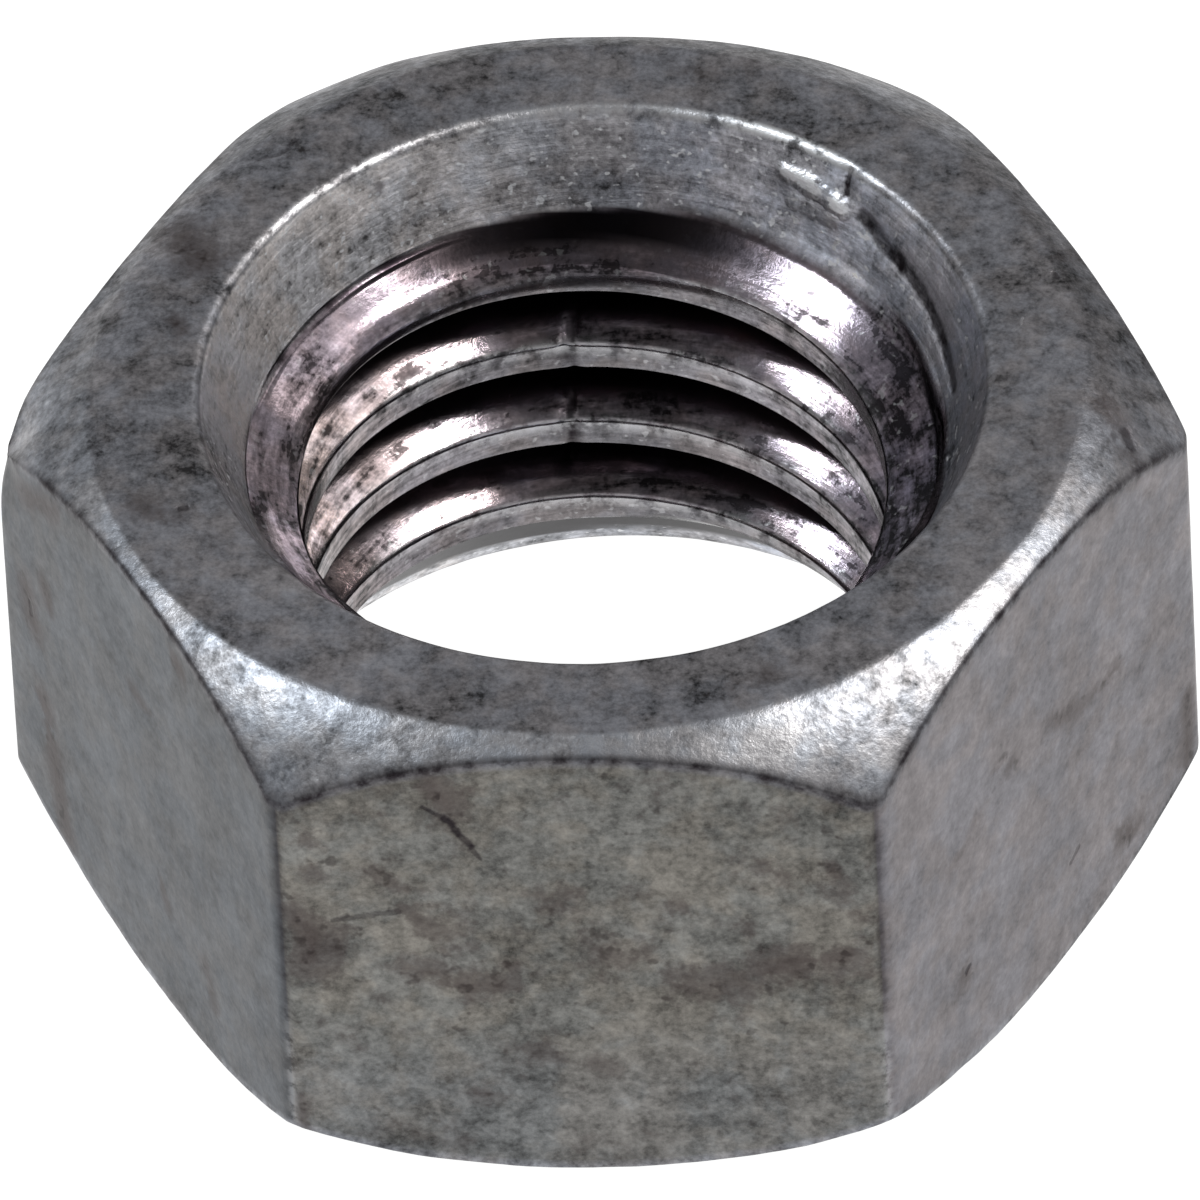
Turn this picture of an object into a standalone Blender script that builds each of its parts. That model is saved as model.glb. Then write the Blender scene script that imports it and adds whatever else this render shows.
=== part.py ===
"""Finished hex nut, 1/2-13 UNC, 3/4 in across flats: one solid piece of steel with a right-hand thread.

Metres, +Z up along the thread. The origin is at the middle of the lower bearing face, two
opposite corners of the hexagon lie on the X axis, and two opposite flats face -Y and +Y.
"""

import math

import bmesh
import bpy
from mathutils import Matrix

INCH = 0.0254

# The hexagon.
ACROSS_FLATS = 0.75 * INCH
THICKNESS = 7 / 16 * INCH
ACROSS_CORNERS = 0.0218  # the forged corners are rounded just short of a sharp hexagon

# The chamfers curve down from the bearing faces. At a distance x outside its bearing face, a chamfer
# has dropped by start_slope * x + bend * x * x.
UPPER_CHAMFER = {"face_diameter": 0.0181, "start_slope": 0.43, "bend": 207.0}
LOWER_CHAMFER = {"face_diameter": 0.0175, "start_slope": 0.38, "bend": 121.0}
CHAMFER_SEGMENTS = 4
TURNED_STEPS = 96

# The thread: basic 60 degree profile with a flat crest and a flat root.
THREAD_DIAMETER = 0.5 * INCH
PITCH = INCH / 13
CREST_DIAMETER = 0.0107
HALF_ANGLE = math.radians(30)
ROOT_FLAT = PITCH / 8
CREST_HEIGHT_AT_BACK = 0.00827  # height of the underside of the top full crest, on the +Y side
THREAD_STEPS = 48

# The funnel that leads a bolt in, at both ends: a steep wall, then a shoulder down to the crests.
MOUTH_DIAMETER = 0.0145
MOUTH_WALL_END_DIAMETER = 0.0129
MOUTH_WALL_DEPTH = 0.00180
MOUTH_SHOULDER_END_DIAMETER = 0.0104
MOUTH_DEPTH = 0.00250

OVERRUN = 0.001  # how far a cutter reaches past the face that it cuts through
MERGE_DISTANCE = 1e-6
SHARP_EDGE_ANGLE = math.radians(20)

STEEL_COLOUR = (0.27, 0.27, 0.28, 1.0)
STEEL_ROUGHNESS = 0.42


def clear_scene():
    for thing in list(bpy.data.objects):
        bpy.data.objects.remove(thing, do_unlink=True)


def new_collection(name):
    collection = bpy.data.collections.new(name)
    bpy.context.scene.collection.children.link(collection)
    return collection


def add_object(name, mesh, collection):
    thing = bpy.data.objects.new(name, mesh)
    collection.objects.link(thing)
    return thing


def as_cutter(thing):
    thing.hide_render = True
    thing.display_type = "WIRE"
    return thing


def finished_mesh(thing):
    """A new mesh that holds the object's shape with all its modifiers applied."""
    bpy.context.view_layer.update()
    evaluated = thing.evaluated_get(bpy.context.evaluated_depsgraph_get())
    return bpy.data.meshes.new_from_object(evaluated)


def steel():
    material = bpy.data.materials.new("plain_steel")
    material.use_nodes = True
    shader = material.node_tree.nodes["Principled BSDF"]
    shader.inputs["Base Color"].default_value = STEEL_COLOUR
    shader.inputs["Metallic"].default_value = 1.0
    shader.inputs["Roughness"].default_value = STEEL_ROUGHNESS
    return material


def outline_mesh(name, points):
    """An open chain of edges through (radius, height) points, in the XZ plane."""
    mesh = bpy.data.meshes.new(name)
    edges = [(i, i + 1) for i in range(len(points) - 1)]
    mesh.from_pydata([(radius, 0.0, height) for radius, height in points], edges, [])
    return mesh


def turned(name, points, collection):
    """A solid of revolution. Its points run from the axis at the top to the axis at the bottom."""
    thing = add_object(name, outline_mesh(name, points), collection)
    screw = thing.modifiers.new("turn", "SCREW")
    screw.axis = "Z"
    screw.steps = screw.render_steps = TURNED_STEPS
    screw.use_merge_vertices = True
    screw.merge_threshold = MERGE_DISTANCE
    return thing


def hexagonal_bar(name, collection):
    """The sharp-cornered hexagon, at its finished thickness."""
    shape = bmesh.new()
    corner_on_x = Matrix.Rotation(math.radians(30), 4, "Z")
    bmesh.ops.create_cone(
        shape,
        cap_ends=True,
        segments=6,
        radius1=ACROSS_FLATS / math.sqrt(3),
        radius2=ACROSS_FLATS / math.sqrt(3),
        depth=THICKNESS,
        matrix=Matrix.Translation((0, 0, THICKNESS / 2)) @ corner_on_x,
    )
    mesh = bpy.data.meshes.new(name)
    shape.to_mesh(mesh)
    shape.free()
    return add_object(name, mesh, collection)


def chamfer_curve(chamfer):
    """(radius, drop) points down one chamfer, from above its bearing face to the corners' radius."""
    face = chamfer["face_diameter"] / 2
    reach = ACROSS_CORNERS / 2 - face
    # The curve starts past the bearing face, so that the hexagon's own end stays flat.
    points = [(face - OVERRUN / chamfer["start_slope"], -OVERRUN)]
    for i in range(CHAMFER_SEGMENTS + 1):
        x = reach * i / CHAMFER_SEGMENTS
        points.append((face + x, chamfer["start_slope"] * x + chamfer["bend"] * x * x))
    return points


def chamfer_envelope(collection):
    """The turned shape that every corner of the nut lies inside: a drum with rounded-off ends."""
    upper = [(radius, THICKNESS - drop) for radius, drop in chamfer_curve(UPPER_CHAMFER)]
    lower = reversed(chamfer_curve(LOWER_CHAMFER))
    points = [(0, THICKNESS + OVERRUN), *upper, *lower, (0, -OVERRUN)]
    return as_cutter(turned("chamfer_envelope", points, collection))


def mouth_cutter(name, at_top, collection):
    """The funnel at one end of the thread."""
    wall_slope = (MOUTH_DIAMETER - MOUTH_WALL_END_DIAMETER) / 2 / MOUTH_WALL_DEPTH
    points = [
        (0, OVERRUN),
        (MOUTH_DIAMETER / 2 + wall_slope * OVERRUN, OVERRUN),
        (MOUTH_WALL_END_DIAMETER / 2, -MOUTH_WALL_DEPTH),
        (MOUTH_SHOULDER_END_DIAMETER / 2, -MOUTH_DEPTH),
        (0, -MOUTH_DEPTH),
    ]
    if at_top:
        placed = [(radius, THICKNESS + height) for radius, height in points]
    else:
        placed = [(radius, -height) for radius, height in reversed(points)]
    return as_cutter(turned(name, placed, collection))


def thread_profile():
    """One pitch of the thread, from the underside of a crest down to the underside of the next."""
    crest = CREST_DIAMETER / 2
    root = THREAD_DIAMETER / 2
    flank = (root - crest) * math.tan(HALF_ANGLE)
    return [
        (crest, 0.0),
        (root, -flank),
        (root, -flank - ROOT_FLAT),
        (crest, -2 * flank - ROOT_FLAT),
        (crest, -PITCH),
    ]


def thread_surface(collection):
    """The wall of the thread: the profile swept along a right-hand helix past both ends of the nut."""
    # A turn starts at +X, a quarter turn before the +Y side, so the helix is a quarter pitch lower.
    start = CREST_HEIGHT_AT_BACK - PITCH / 4
    turns_below = math.ceil((start + OVERRUN) / PITCH)
    turns_above = math.ceil((THICKNESS + OVERRUN - start) / PITCH)
    lowest = start - turns_below * PITCH
    points = [(radius, lowest + height) for radius, height in thread_profile()]
    thing = add_object("thread_surface", outline_mesh("thread_surface", points), collection)
    screw = thing.modifiers.new("helix", "SCREW")
    screw.axis = "Z"
    screw.steps = screw.render_steps = THREAD_STEPS
    screw.screw_offset = PITCH
    screw.iterations = turns_below + turns_above
    return thing


def thread_cutter(collection):
    """The threaded plug: the helical wall with its turns joined and both ends closed by a low cone."""
    surface = thread_surface(collection)
    mesh = finished_mesh(surface)
    bpy.data.objects.remove(surface, do_unlink=True)

    shape = bmesh.new()
    shape.from_mesh(mesh)
    bmesh.ops.remove_doubles(shape, verts=shape.verts, dist=MERGE_DISTANCE)
    open_edges = [edge for edge in shape.edges if edge.is_boundary]
    ends = bmesh.ops.holes_fill(shape, edges=open_edges)["faces"]
    bmesh.ops.poke(shape, faces=ends)
    bmesh.ops.recalc_face_normals(shape, faces=shape.faces)
    shape.to_mesh(mesh)
    shape.free()
    return as_cutter(add_object("thread_cutter", mesh, collection))


def add_boolean(thing, name, operation, cutter):
    modifier = thing.modifiers.new(name, "BOOLEAN")
    modifier.operation = operation
    modifier.solver = "EXACT"
    modifier.object = cutter


def apply_and_shade(thing):
    """Makes the modified shape the object's own mesh: smooth where it is turned, sharp at its edges."""
    thing.data = finished_mesh(thing)
    thing.modifiers.clear()
    thing.data.shade_smooth()
    thing.data.set_sharp_from_angle(angle=SHARP_EDGE_ANGLE)


def make_hex_nut():
    parts = new_collection("hex_nut")
    cutters = new_collection("cutters")
    nut = hexagonal_bar("hex_nut", parts)
    add_boolean(nut, "chamfers", "INTERSECT", chamfer_envelope(cutters))
    add_boolean(nut, "thread", "DIFFERENCE", thread_cutter(cutters))
    add_boolean(nut, "top_mouth", "DIFFERENCE", mouth_cutter("top_mouth_cutter", True, cutters))
    add_boolean(nut, "lower_mouth", "DIFFERENCE", mouth_cutter("lower_mouth_cutter", False, cutters))
    apply_and_shade(nut)
    nut.data.materials.clear()
    nut.data.materials.append(steel())


clear_scene()
make_hex_nut()
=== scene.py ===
"""Looks of the hex nut: one finely modelled body in dull cold-formed steel, on a plain pale floor.

Metres, in the CAD's frame: +Z runs along the thread, the lower bearing face is at zero, and the
front flat faces -Y. The body takes its size from the CAD node that it stands for.
"""

import math

import bmesh
import bpy
import numpy as np
from mathutils import Matrix, Vector, noise


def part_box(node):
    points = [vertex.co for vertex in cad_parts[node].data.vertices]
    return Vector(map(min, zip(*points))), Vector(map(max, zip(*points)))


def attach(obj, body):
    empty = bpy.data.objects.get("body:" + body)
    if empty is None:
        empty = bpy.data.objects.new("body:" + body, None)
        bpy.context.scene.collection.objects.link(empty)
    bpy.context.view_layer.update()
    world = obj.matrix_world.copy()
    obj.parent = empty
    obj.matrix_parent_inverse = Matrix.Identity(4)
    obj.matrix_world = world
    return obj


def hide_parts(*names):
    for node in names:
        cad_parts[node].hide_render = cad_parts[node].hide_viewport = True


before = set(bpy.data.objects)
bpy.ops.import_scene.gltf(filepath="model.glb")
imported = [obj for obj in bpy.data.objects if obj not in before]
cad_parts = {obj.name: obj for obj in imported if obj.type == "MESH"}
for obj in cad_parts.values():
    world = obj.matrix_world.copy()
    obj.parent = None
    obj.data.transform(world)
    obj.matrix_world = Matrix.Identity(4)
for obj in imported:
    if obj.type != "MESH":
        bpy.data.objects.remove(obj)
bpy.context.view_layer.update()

MM = 0.001
INCH = 0.0254

# The hexagon, at the CAD's size.
NUT_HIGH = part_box("hex_nut")[1]
APOTHEM = NUT_HIGH.y
CORNER_RADIUS = NUT_HIGH.x
THICKNESS = NUT_HIGH.z
CORNER_SOFTNESS = 0.03 * MM
FLATS = ["back_right", "back", "back_left", "front_left", "front", "front_right"]  # anticlockwise from +X

# Each end: a flat bearing face, and a chamfer that has dropped by slope * x + bend * x * x at a
# distance x outside that face. The face is not quite round: it leans out to one side, is longer
# one way than the other, and its edge wanders. Towards the angle "slump_angle" it also sags.
UPPER_END = {"radius": 9.06 * MM, "lean": 0.12 * MM, "lean_angle": 225, "oval": 0.06 * MM,
             "wander": 0.07 * MM, "seed": 3.0, "slope": 0.43, "bend": 0.207 / MM,
             "slump": 0.43 * MM, "slump_angle": 156, "crease": 1.0}
LOWER_END = {"radius": 8.58 * MM, "lean": 0.05 * MM, "lean_angle": 200, "oval": -0.17 * MM,
             "wander": 0.05 * MM, "seed": 9.0, "slope": 0.38, "bend": 0.121 / MM,
             "slump": 0.0, "slump_angle": 0, "crease": 0.35}
SLUMP_SPREAD = 30  # degrees
SLUMP_START_RADIUS = 8.3 * MM
SLUMP_END_RADIUS = 9.6 * MM
FACE_EDGE_SOFTNESS = 0.02 * MM
ARC_EDGE_REACH = 0.06 * MM  # rounding where a chamfer meets a flat

# The mouth of the hole: a steep wall, then a shoulder. It was pierced slightly off centre.
RIM_RADIUS = 7.25 * MM
RIM_REACH = 0.17 * MM
MOUTH_WALL_DEPTH = 1.80 * MM
MOUTH_WALL_END_RADIUS = 6.42 * MM
MOUTH_DEPTH = 2.50 * MM
MOUTH_END_RADIUS = 5.20 * MM
SHOULDER_CURVE = 0.12  # how far the shoulder rolls over, from flatter at its wall to steeper inside
MOUTH_OFFSET = (0.08 * MM, 0.03 * MM)
SEAM_DEPTH = 0.45 * MM  # where the outer shell of the mesh is joined to the threaded wall

# The thread, 1/2-13 UNC, right-hand.
PITCH = INCH / 13
ROOT_RADIUS = 0.25 * INCH
CREST_RADIUS = 5.35 * MM
FLANK = (ROOT_RADIUS - CREST_RADIUS) * math.tan(math.radians(30))
ROOT_FLAT = PITCH / 8
CREST_START = 2 * FLANK + ROOT_FLAT  # a crest's upper edge, measured down from the crest above
CREST_HEIGHT_AT_BACK = 8.27 * MM
RUNOUT_SOFTNESS = 0.04 * MM
CREST_EDGE = 0.03 * MM  # a crest's last row is this close to its lower edge, to keep it crisp
CREST_ROUNDING = 0.06 * MM  # how far down the crest its rounded upper edge reaches
ROUNDED_SHARE = 0.08  # how much of the upward flank that rounding takes up
FLANK_CURVE = 0.09  # how far the upward flank rolls over, from flatter at its root to steeper

# How many rows and columns the mesh has.
COLUMNS_BY_CORNER = [0.0, 0.2, 0.36, 0.46, 0.6, 0.85, 1.2, 1.8, 2.7, 3.9]  # degrees from a corner
EVEN_COLUMNS = 21
EVEN_COLUMNS_START = 5.2  # degrees from a corner
HALF_SECTOR = 30  # degrees from a corner to the middle of a flat
TEAR_COLUMNS = 36  # extra ones, across the tear
TEAR_START, TEAR_END = 88.3, 100.1  # degrees
RIM_ROWS = 6
MOUTH_ROWS = 4
FACE_ROWS = 11
FACE_MARGIN = 0.2 * MM  # the face's own rows end this far inside its edge
CHAMFER_ROWS = 15
CHAMFER_CROWDING = 1.3  # above 1, the rows crowd towards the bearing face
ARC_EDGE_ROWS = 4
FLAT_ROWS = 36
FLAT_CROWDING = 0.4  # 0 for even rows, 1 for rows that crowd most towards both ends
SHOULDER_POINTS = 9
DOWNWARD_FLANK_ROWS = 6
UPWARD_FLANK_ROWS = 8
CREST_CURVE_ROWS = 5

MERGE_DISTANCE = 1e-7

# How the finish changes over the surface.
FACE_FADE = 0.12 * MM
ZONE_FADE = 0.06 * MM
LINE_ABOVE_ARC = 0.09 * MM
LINE_BELOW_ARC = 0.13 * MM
CORNER_LINE = 0.75
CORNER_LINE_WIDTH = 0.09 * MM
CORNER_LINE_LOSS = 0.7  # how much of that line is gone where the corner is drawn bright
CORNER_SHINE = 0.22
CORNER_SHINE_START = 5.0 * MM  # below this height the corners are drawn bright, and above it dark
CORNER_SHINE_FADE = 2.0 * MM
FRONT_LOW_HEIGHT = 4.6 * MM  # the front flat is cleaner below this height
FRONT_LOW_FADE = 2.4 * MM
LOWER_SHADE_HEIGHT = 0.42 * MM  # the lower mouth is painted black above this height, as painted shade
LOWER_SHADE_FADE = 0.12 * MM
CREST_SHINE_START = -0.05 * MM  # a crest turns from the flank's brown to bare steel down this stretch
CREST_SHINE_END = 0.06 * MM
CREST_LINE = 0.6  # the rounded upper edge of a crest is rubbed bright
CREST_LINE_PLACE = 0.02 * MM
CREST_LINE_WIDTH = 0.06 * MM
CREST_SHINE_ANGLE = 90  # the crests are bare on the +Y side, and brown like the flanks elsewhere
CREST_SHINE_SPREAD = 62
ROOT_SHADE_ANGLE = 92  # the thread's roots are painted black on this side, as painted shade
ROOT_SHADE_SPREAD = 50
ROOT_SHADE_START_RADIUS = 5.72 * MM
ROOT_SHADE_FADE = 0.28 * MM
SIDES = {  # zones that cover one side of the hole, as (angle, spread) in degrees; the mouth's sides are painted lighter and the right flank darker, as painted light and shade
    "left_mouth_painted_light": (150, 44),
    "right_mouth_painted_light": (36, 34),
    "left_flank": (178, 42),
    "right_flank_painted_shade": (2, 34),
}
RIM_SHINE = [(62, 13, 1.0), (88, 16, 0.25), (128, 24, 0.4)]  # where the rim is painted bright, as painted highlights: (angle, spread, amount)
FRONT_CHAMFER_TURN = math.radians(14)  # how far the front chamfers, painted paler as painted light, reach round the left corner
FRONT_CHAMFER_SHARPNESS = 1.2  # how abruptly they end

# The unevenness modelled in the surface, as noise cells to a millimetre.
LUMP_RATE = 0.9
LUMP_OCTAVES = 4
TOOL_LINE_RATE_ACROSS = 0.8
TOOL_LINE_RATE_UP = 6
TEAR_RATE = 5
TEAR_RAGGEDNESS = 0.10  # millimetres
TEAR_SEED = 1  # not 0, which would seed the vector noise from the clock

# The mouth's wall ends in a line of painted shade at the back on the left. All in millimetres.
WALL_END_LINE_HEIGHT = (THICKNESS - MOUTH_WALL_DEPTH) / MM - 0.02
WALL_END_LINE_EDGE = (0.02, 0.07)  # the distances from its middle between which it fades out
WALL_END_LINE_BACK = (1.0, 2.5)  # the y between which it fades in
WALL_END_LINE_LEFT = (-3.6, -2.2)  # the x between which it fades out

# What the steel's shader draws. An edge holds the two noise values between which a thing fades in.
SMEAR_COLOUR = (0.066, 0.052, 0.050, 1.0)
SPOT_COLOUR = (0.030, 0.024, 0.023, 1.0)
# The colour of dark lines: creases, corners, cuts, tears, and the line of painted shade where the mouth's
# wall ends.
CREASE_COLOUR = (0.017, 0.013, 0.016, 1.0)
WARM_TINT = (1.025, 0.995, 0.97, 1.0)
COOL_TINT = (0.975, 1.0, 1.03, 1.0)
# The colour of worn edges, and of the painted highlights on the rim and the ridges.
WORN_AND_HIGHLIGHT_COLOUR = (0.85, 0.86, 0.88, 1.0)
FLECK_COLOUR = (0.80, 0.81, 0.83, 1.0)
TINT_EDGE = (0.40, 0.60)
FINE_WEIGHT, MIDDLE_WEIGHT, LARGE_WEIGHT = 2.7, 3.7, 3.0  # of the noises that make up the mottling
STREAK_WEIGHT = 3.4
SMEAR_EDGE = (0.51, 0.70)
SMEAR_BY_STAIN = 0.25  # how much a stain raises the smears' noise
SMEAR_STRENGTH = 0.75
SPOT_EDGE = (0.64, 0.78)
SPOT_BY_STAIN = 0.09
SPOT_STRENGTH = 0.8
FLECK_EDGE = (0.62, 0.70)
FLECK_STRENGTH = 0.8
WORN_AND_HIGHLIGHT_STRENGTH = 0.85
DARKEST = 0.12  # the least that the mottling leaves of a colour
SMOOTHEST = 0.12
ROUGHNESS_SWING = 0.12  # how much smoother the lighter mottling is
CUT_RAGGEDNESS = 0.18  # millimetres
RIDGE_RAGGEDNESS = 0.24
STROKE_CORE = 0.3  # the share of a stroke's width that is drawn in full
CUT_BUMP = 0.5
RIDGE_BUMP = 1.4
BUMP_STRENGTH = 0.6
BUMP_DISTANCE = 0.05 * MM

# The finish of each zone. Colours are linear. Grain is the contrast of the mottling, soil how much
# brown is smeared on, streaks how strongly the texture runs round the axis, flecks how strong the
# bright specks are, and relief how uneven the metal is, in millimetres.
QUALITIES = ["roughness", "grain", "soil", "streaks", "flecks", "relief"]


def finish(red, green, blue, *qualities):
    return {"colour": (red, green, blue, 1.0), **dict(zip(QUALITIES, qualities))}


ZONES = {  # red, green, blue, and then the qualities in their order
    "front": finish(0.147, 0.143, 0.132, 0.45, 0.50, 0.75, 0.0, 0.0, 0.006),
    "front_low": finish(0.149, 0.149, 0.146, 0.45, 0.50, 0.5, 0.0, 0.0, 0.006),
    # The front-left flat is painted darker and the front-right one lighter: painted shade and painted
    # light.
    "front_left": finish(0.101, 0.106, 0.113, 0.45, 0.26, 0.12, 0.0, 0.0, 0.004),
    "front_right": finish(0.168, 0.159, 0.168, 0.42, 0.28, 0.15, 0.0, 0.0, 0.004),
    "back_right": finish(0.130, 0.128, 0.128, 0.45, 0.45, 0.6, 0.0, 0.0, 0.005),
    "back": finish(0.135, 0.132, 0.126, 0.45, 0.50, 0.8, 0.0, 0.0, 0.006),
    "back_left": finish(0.118, 0.121, 0.125, 0.45, 0.40, 0.5, 0.0, 0.0, 0.005),
    "face": finish(0.193, 0.191, 0.204, 0.42, 0.75, 0.20, 0.0, 0.05, 0.008),
    "chamfer": finish(0.256, 0.260, 0.278, 0.42, 0.55, 0.10, 0.0, 0.15, 0.016),
    # The back chamfers are painted darker than the front ones: painted shade.
    "back_chamfer_painted_shade": finish(0.105, 0.104, 0.112, 0.45, 0.80, 0.30, 0.0, 0.0, 0.008),
    "mouth": finish(0.225, 0.230, 0.253, 0.42, 0.75, 0.15, 0.7, 1.0, 0.006),
    # The two sides of the mouth are painted lighter: painted light.
    "left_mouth_painted_light": finish(0.74, 0.72, 0.72, 0.45, 0.60, 0.15, 0.7, 1.0, 0.006),
    "right_mouth_painted_light": finish(0.54, 0.555, 0.615, 0.40, 0.60, 0.10, 0.8, 1.0, 0.006),
    "flank": finish(0.225, 0.192, 0.212, 0.15, 1.00, 0.0, 1.8, 0.12, 0.004),
    "left_flank": finish(0.200, 0.166, 0.158, 0.17, 0.80, 0.0, 2.4, 0.1, 0.004),
    # The right flank is painted darker: painted shade.
    "right_flank_painted_shade": finish(0.078, 0.070, 0.090, 0.15, 1.50, 0.0, 1.3, 0.25, 0.004),
    "shoulder": finish(0.20, 0.168, 0.188, 0.18, 0.95, 0.0, 1.8, 0.12, 0.004),
    # painted shade: black for the thread's roots on one side and for the lower mouth
    "painted_shade": finish(0.012, 0.010, 0.012, 0.18, 0.40, 0.0, 0.0, 0.0, 0.002),
    "crest": finish(0.185, 0.176, 0.184, 0.28, 0.45, 0.0, 1.0, 0.3, 0.004),
}


# ---------------------------------------------------------------- the shape of the body

def column_angles():
    """Angles round the axis, crowded at the six corners and at the tear in the thread."""
    half_sector = COLUMNS_BY_CORNER + list(np.linspace(EVEN_COLUMNS_START, HALF_SECTOR, EVEN_COLUMNS))
    angles = []
    for corner in range(6):
        angles += [60 * corner + a for a in half_sector]
        angles += [60 * (corner + 1) - a for a in half_sector[-2:0:-1]]
    angles += list(np.linspace(TEAR_START, TEAR_END, TEAR_COLUMNS))
    return np.radians(np.unique(np.round(angles, 3)))


def smooth_max(a, b, softness):
    return (a + b + np.sqrt((a - b) ** 2 + softness**2)) / 2


def smooth_min(a, b, softness):
    return (a + b - np.sqrt((a - b) ** 2 + softness**2)) / 2


def wall_radius(angles):
    """Distance from the axis to the hexagon's wall, with its corners turned off."""
    from_flat = (angles % math.radians(60)) - math.radians(30)
    return smooth_min(APOTHEM / np.cos(from_flat), CORNER_RADIUS, CORNER_SOFTNESS)


def mouth_radius(depth, angles):
    """Radius of the mouth's funnel at a depth below its face. It narrows to nothing below the shoulder."""
    past_end = 3 * MM
    wall_slope = (RIM_RADIUS - MOUTH_WALL_END_RADIUS) / MOUTH_WALL_DEPTH
    t = np.linspace(0, 1, SHOULDER_POINTS)
    shoulder_depths = MOUTH_WALL_DEPTH + rolled(t, SHOULDER_CURVE) * (MOUTH_DEPTH - MOUTH_WALL_DEPTH)
    shoulder_radii = MOUTH_WALL_END_RADIUS - t * (MOUTH_WALL_END_RADIUS - MOUTH_END_RADIUS)
    depths = [-past_end, 0, *shoulder_depths, MOUTH_DEPTH + past_end]
    radii = [RIM_RADIUS + wall_slope * past_end, RIM_RADIUS, *shoulder_radii, 0]
    shift = MOUTH_OFFSET[0] * np.cos(angles) + MOUTH_OFFSET[1] * np.sin(angles)
    return np.interp(depth, depths, radii) + shift


def smooth_step(value):
    """0 below 0, 1 above 1, and an even rise between."""
    t = np.clip(value, 0, 1)
    return t * t * (3 - 2 * t)


def rolled(t, curve):
    """A rise from 0 to 1 that gets steeper on the way."""
    return (1 - curve) * t + curve * t * t


def near_angle(angles, centre, spread):
    """1 at the centre angle, falling to nothing within about two spreads. Both are in degrees."""
    away = (np.degrees(angles) - centre + 180) % 360 - 180
    return np.exp(-((away / spread) ** 2))


def on_side(name, angles):
    """How far each angle belongs to one of the SIDES."""
    return near_angle(angles, *SIDES[name])


def bend(start, corner, end, rows):
    """Points along the curve that leaves start towards corner and arrives at end from it."""
    t = np.linspace(0, 1, rows)[:, None, None]
    return (1 - t) ** 2 * start + 2 * t * (1 - t) * corner + t**2 * end


def pair(radius, depth, angles):
    """(radius, depth) for every column, from numbers or from one value a column."""
    return np.stack([radius + 0 * angles, depth + 0 * angles], axis=-1)


def face_edge_radius(end, angles):
    """Where the bearing face ends and the chamfer starts, for every column."""
    ring = [Vector((2.2 * math.cos(a), 2.2 * math.sin(a), end["seed"])) for a in angles]
    wandering = np.array([noise.fractal(point, 1.0, 2.0, 3) for point in ring])
    leaning = end["lean"] * np.cos(angles - math.radians(end["lean_angle"]))
    return end["radius"] + leaning + end["oval"] * np.cos(2 * angles) + end["wander"] * wandering


def end_drop(end, angles, face_edge):
    """How far one end lies below its face, as a function of the radius."""
    slump = end["slump"] * near_angle(angles, end["slump_angle"], SLUMP_SPREAD)

    def drop(radius):
        past_face = smooth_max(radius - face_edge, 0, 2 * FACE_EDGE_SOFTNESS)
        sag = smooth_step((radius - SLUMP_START_RADIUS) / (SLUMP_END_RADIUS - SLUMP_START_RADIUS))
        return end["slope"] * past_face + end["bend"] * past_face**2 + slump * sag

    return drop


def end_rows(end, angles, wall, face_edge):
    """One end of the shell, as rows of (radius, depth below the face) with one pair a column.

    The rows run from the join inside the mouth, over the rim and the face, down the chamfer and
    round the arc where it meets the flat.
    """
    drop = end_drop(end, angles, face_edge)
    depths = np.linspace(SEAM_DEPTH, RIM_REACH, MOUTH_ROWS, endpoint=False)
    mouth = [pair(mouth_radius(depth, angles), depth, angles) for depth in depths]

    rim = mouth_radius(0, angles)
    rim_rows = bend(
        pair(mouth_radius(RIM_REACH, angles), RIM_REACH, angles),
        pair(rim, 0, angles),
        pair(rim + RIM_REACH, 0, angles),
        RIM_ROWS,
    )

    face_start = rim + RIM_REACH
    face_end = face_edge - FACE_MARGIN
    face = []
    for t in np.linspace(0, 1, FACE_ROWS, endpoint=False)[1:]:
        radius = face_start + t * (face_end - face_start)
        face.append(pair(radius, drop(radius) - (1 - t) * drop(face_start), angles))

    before_arc = wall - ARC_EDGE_REACH
    chamfer = []
    for t in np.linspace(0, 1, CHAMFER_ROWS, endpoint=False):
        radius = face_end + t**CHAMFER_CROWDING * (before_arc - face_end)
        chamfer.append(pair(radius, drop(radius), angles))

    arc_edge = bend(
        pair(before_arc, drop(before_arc), angles),
        pair(wall, drop(wall), angles),
        pair(wall, drop(wall) + ARC_EDGE_REACH, angles),
        ARC_EDGE_ROWS,
    )
    return np.concatenate([mouth, rim_rows, face, chamfer, arc_edge])


def end_zones(end, rows, angles, wall, face_edge):
    """How much of each point in one end's rows belongs to which zone."""
    zones = zone_weights(len(rows), len(angles))
    index = np.arange(len(rows))[:, None]
    radius = rows[..., 0]
    on_top = index > MOUTH_ROWS
    on_face = on_top * np.clip((face_edge - radius) / FACE_FADE + 0.5, 0, 1)
    # The front chamfers get the paler zone and the back ones the darker: painted light and painted shade.
    at_front = smooth_step(0.5 - FRONT_CHAMFER_SHARPNESS * np.sin(angles + FRONT_CHAMFER_TURN))
    share_mouth(zones, 1.0 - on_top, angles)
    zones["face"][:] = on_face
    zones["chamfer"][:] = (on_top - on_face) * at_front
    zones["back_chamfer_painted_shade"][:] = (on_top - on_face) * (1 - at_front)
    # The rim is painted bright at these angles: painted highlights.
    shine = sum(amount * near_angle(angles, centre, spread) for centre, spread, amount in RIM_SHINE)
    across_rim = np.sin(np.linspace(0, math.pi, RIM_ROWS))[:, None]
    zones["worn_and_highlight"][MOUTH_ROWS:MOUTH_ROWS + RIM_ROWS] = across_rim * shine
    zones["line"][:] = end["crease"] * np.exp(-(((wall - radius) / LINE_ABOVE_ARC) ** 2)) * on_top
    return zones


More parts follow.
